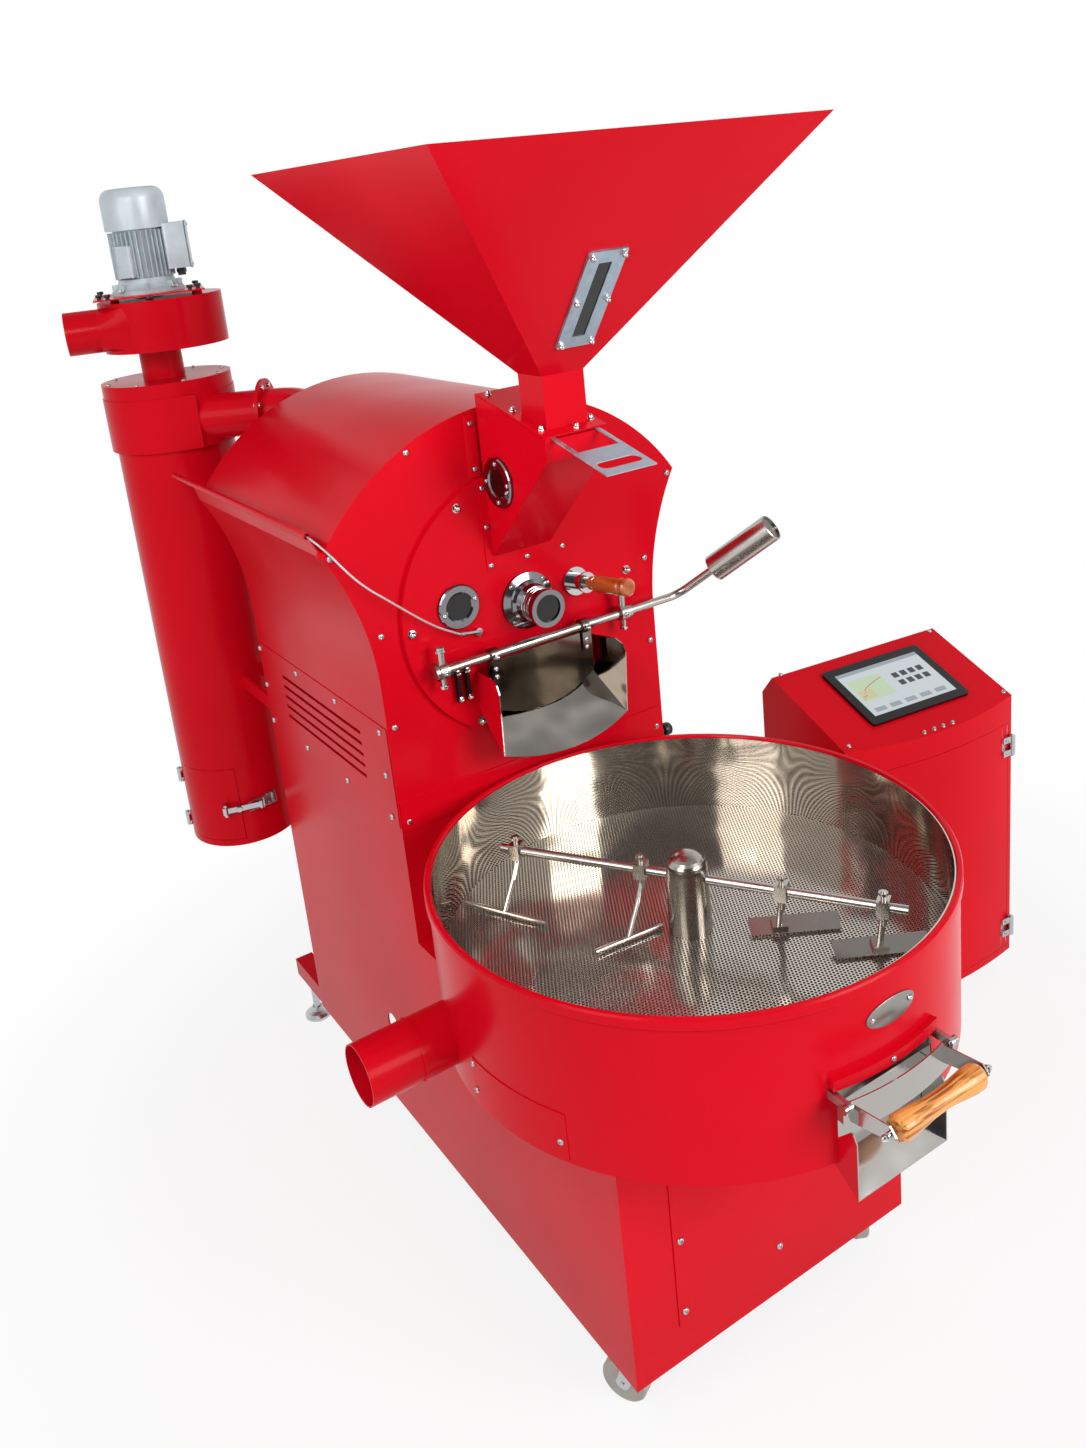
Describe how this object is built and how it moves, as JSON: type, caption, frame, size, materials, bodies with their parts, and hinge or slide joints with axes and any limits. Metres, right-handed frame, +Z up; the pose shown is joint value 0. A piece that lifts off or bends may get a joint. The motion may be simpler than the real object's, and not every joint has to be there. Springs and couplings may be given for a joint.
{
  "type": "coffee drum roaster",
  "caption": "Floor-standing drum roaster: hopper and slide gate over a turning drum, round cooling tray with stirrer, chaff cyclone with blower, and a control cabinet on casters.",
  "frame": {"origin": "on the floor under the middle of the whole machine's box, cabinet included", "axes": "+Z up, +X to the right as seen by a person in front of the machine, +Y to its back"},
  "size_m": [1.6138, 1.907, 1.885],
  "materials": {
    "red_powder_coat": "glossy red powder coat",
    "stainless_polished": "polished stainless steel",
    "stainless_mirror": "mirror-finished stainless sheet",
    "perforated_stainless": "brushed stainless sheet with fine staggered holes",
    "drum_steel": "mild steel plate, dark from heat",
    "chrome_plate": "chrome plate",
    "zinc_steel": "zinc-plated steel",
    "galvanised_sheet": "galvanised sheet",
    "black_steel": "blackened steel",
    "motor_grey": "grey enamel on cast aluminium",
    "varnished_wood": "turned and varnished hardwood",
    "dark_glass": "heat-proof glass, dark behind",
    "braided_cable": "steel-braided sheath",
    "black_plastic": "black polycarbonate bezel and screen",
    "wheel_rubber": "grey-black tread rubber"
  },
  "bodies": {
    "root": {"base_frame": "red_powder_coat", "rear_feet": "zinc_steel", "side_panel_left": "red_powder_coat", "side_panel_right": "red_powder_coat", "base_front_panel": "red_powder_coat", "front_plate": "red_powder_coat", "rear_plate": "red_powder_coat", "drum_cover": "red_powder_coat", "flares": "red_powder_coat", "gearmotors": "motor_grey", "drum_front_disc": "red_powder_coat", "sight_flanges": "chrome_plate", "sight_glasses": "dark_glass", "trier_socket": "chrome_plate", "probe_fitting": "chrome_plate", "probe_cable": "braided_cable", "door_posts": "black_steel", "discharge_chute": "stainless_polished", "load_chute": "red_powder_coat", "hopper_neck": "red_powder_coat", "hopper": "red_powder_coat", "window_frame": "galvanised_sheet", "tray_shell": "red_powder_coat", "tray_rim": "red_powder_coat", "tray_liner": "stainless_mirror", "tray_floor": "perforated_stainless", "outlet_chute": "stainless_polished", "suction_pipe": "red_powder_coat", "cyclone_barrel": "red_powder_coat", "cyclone_scroll": "red_powder_coat", "blower_volute": "red_powder_coat", "blower_motor": "motor_grey", "cabinet_body": "red_powder_coat", "touchscreen": "black_plastic"},
    "drum": {"drum": "drum_steel"},
    "trier": {"trier_scoop": "stainless_polished", "trier_handle": "varnished_wood"},
    "discharge_door": {"door_shaft": "stainless_polished", "discharge_door": "stainless_mirror"},
    "slide_gate": {"slide_gate": "galvanised_sheet"},
    "outlet_door": {"outlet_door": "stainless_polished", "outlet_grip": "varnished_wood"},
    "stirrer": {"stirrer_hub": "chrome_plate", "stirrer_arms": "stainless_polished"},
    "impeller": {"blower_impeller": "galvanised_sheet"},
    "ash_door": {"ash_door": "red_powder_coat"},
    "ash_latch": {"ash_latch": "zinc_steel"},
    "cabinet_door": {"cabinet_door": "red_powder_coat"},
    "fork_base_left": {"fork_base_left": "zinc_steel"},
    "wheel_base_left": {"wheel_base_left": "wheel_rubber"},
    "fork_base_right": {"fork_base_right": "zinc_steel"},
    "wheel_base_right": {"wheel_base_right": "wheel_rubber"},
    "fork_cabinet_front_left": {"fork_cabinet_front_left": "zinc_steel"},
    "wheel_cabinet_front_left": {"wheel_cabinet_front_left": "wheel_rubber"},
    "fork_cabinet_front_right": {"fork_cabinet_front_right": "zinc_steel"},
    "wheel_cabinet_front_right": {"wheel_cabinet_front_right": "wheel_rubber"},
    "fork_cabinet_rear_left": {"fork_cabinet_rear_left": "zinc_steel"},
    "wheel_cabinet_rear_left": {"wheel_cabinet_rear_left": "wheel_rubber"},
    "fork_cabinet_rear_right": {"fork_cabinet_rear_right": "zinc_steel"},
    "wheel_cabinet_rear_right": {"wheel_cabinet_rear_right": "wheel_rubber"}
  },
  "joints": [
    {"name": "drum_spin", "type": "hinge", "parent": "root", "child": "drum", "pos_m": [-0.27794, 0.24896, 1.13], "axis": [0, 1, 0], "continuous": true},
    {"name": "trier_slide", "type": "slide", "parent": "root", "child": "trier", "axis": [0, -0.9895, 0.1444], "range_m": [0, 0.14]},
    {"name": "discharge_door_swing", "type": "hinge", "parent": "root", "child": "discharge_door", "pos_m": [-0.27794, -0.08704, 1.063], "axis": [-1, 0, 0], "range_deg": [0, 85]},
    {"name": "gate_slide", "type": "slide", "parent": "root", "child": "slide_gate", "axis": [0, 0.9636, 0.2672], "range_m": [0, 0.08]},
    {"name": "outlet_door_swing", "type": "hinge", "parent": "root", "child": "outlet_door", "pos_m": [-0.27794, -0.87804, 0.68], "axis": [-1, 0, 0], "range_deg": [0, 60]},
    {"name": "stirrer_spin", "type": "hinge", "parent": "root", "child": "stirrer", "pos_m": [-0.27794, -0.46103, 0.7], "axis": [0, 0, 1], "continuous": true},
    {"name": "impeller_spin", "type": "hinge", "parent": "root", "child": "impeller", "pos_m": [-0.57294, 0.81997, 1.616], "axis": [0, 0, 1], "continuous": true},
    {"name": "ash_door_swing", "type": "hinge", "parent": "root", "child": "ash_door", "pos_m": [-0.69617, 0.85069, 0.555], "axis": [0, 0, -1], "range_deg": [0, 110]},
    {"name": "ash_latch_swing", "type": "hinge", "parent": "ash_door", "child": "ash_latch", "pos_m": [-0.64799, 0.70581, 0.555], "axis": [0, 0, -1], "range_deg": [0, 100]},
    {"name": "cabinet_door_swing", "type": "hinge", "parent": "root", "child": "cabinet_door", "pos_m": [0.76882, -0.25475, 0.343], "axis": [0, 0, 1], "range_deg": [0, 100]},
    {"name": "swivel_base_left", "type": "hinge", "parent": "root", "child": "fork_base_left", "pos_m": [-0.51594, -0.56403, 0.08], "axis": [0, 0, 1], "continuous": true},
    {"name": "roll_base_left", "type": "hinge", "parent": "fork_base_left", "child": "wheel_base_left", "pos_m": [-0.52729, -0.54176, 0.0375], "axis": [-0.891, -0.454, 0], "continuous": true},
    {"name": "swivel_base_right", "type": "hinge", "parent": "root", "child": "fork_base_right", "pos_m": [-0.03994, -0.56403, 0.08], "axis": [0, 0, 1], "continuous": true},
    {"name": "roll_base_right", "type": "hinge", "parent": "fork_base_right", "child": "wheel_base_right", "pos_m": [-0.02859, -0.54176, 0.0375], "axis": [-0.891, 0.454, 0], "continuous": true},
    {"name": "swivel_cabinet_front_left", "type": "hinge", "parent": "root", "child": "fork_cabinet_front_left", "pos_m": [0.41352, -0.15896, 0.045], "axis": [0, 0, 1], "continuous": true},
    {"name": "roll_cabinet_front_left", "type": "hinge", "parent": "fork_cabinet_front_left", "child": "wheel_cabinet_front_left", "pos_m": [0.42128, -0.14853, 0.02], "axis": [-0.8023, 0.5969, 0], "continuous": true},
    {"name": "swivel_cabinet_front_right", "type": "hinge", "parent": "root", "child": "fork_cabinet_front_right", "pos_m": [0.70753, -0.19323, 0.045], "axis": [0, 0, 1], "continuous": true},
    {"name": "roll_cabinet_front_right", "type": "hinge", "parent": "fork_cabinet_front_right", "child": "wheel_cabinet_front_right", "pos_m": [0.71529, -0.1828, 0.02], "axis": [-0.8023, 0.5969, 0], "continuous": true},
    {"name": "swivel_cabinet_rear_left", "type": "hinge", "parent": "root", "child": "fork_cabinet_rear_left", "pos_m": [0.4348, 0.02351, 0.045], "axis": [0, 0, 1], "continuous": true},
    {"name": "roll_cabinet_rear_left", "type": "hinge", "parent": "fork_cabinet_rear_left", "child": "wheel_cabinet_rear_left", "pos_m": [0.44256, 0.03394, 0.02], "axis": [-0.8023, 0.5969, 0], "continuous": true},
    {"name": "swivel_cabinet_rear_right", "type": "hinge", "parent": "root", "child": "fork_cabinet_rear_right", "pos_m": [0.72881, -0.01077, 0.045], "axis": [0, 0, 1], "continuous": true},
    {"name": "roll_cabinet_rear_right", "type": "hinge", "parent": "fork_cabinet_rear_right", "child": "wheel_cabinet_rear_right", "pos_m": [0.73657, -0.00034, 0.02], "axis": [-0.8023, 0.5969, 0], "continuous": true}
  ]
}
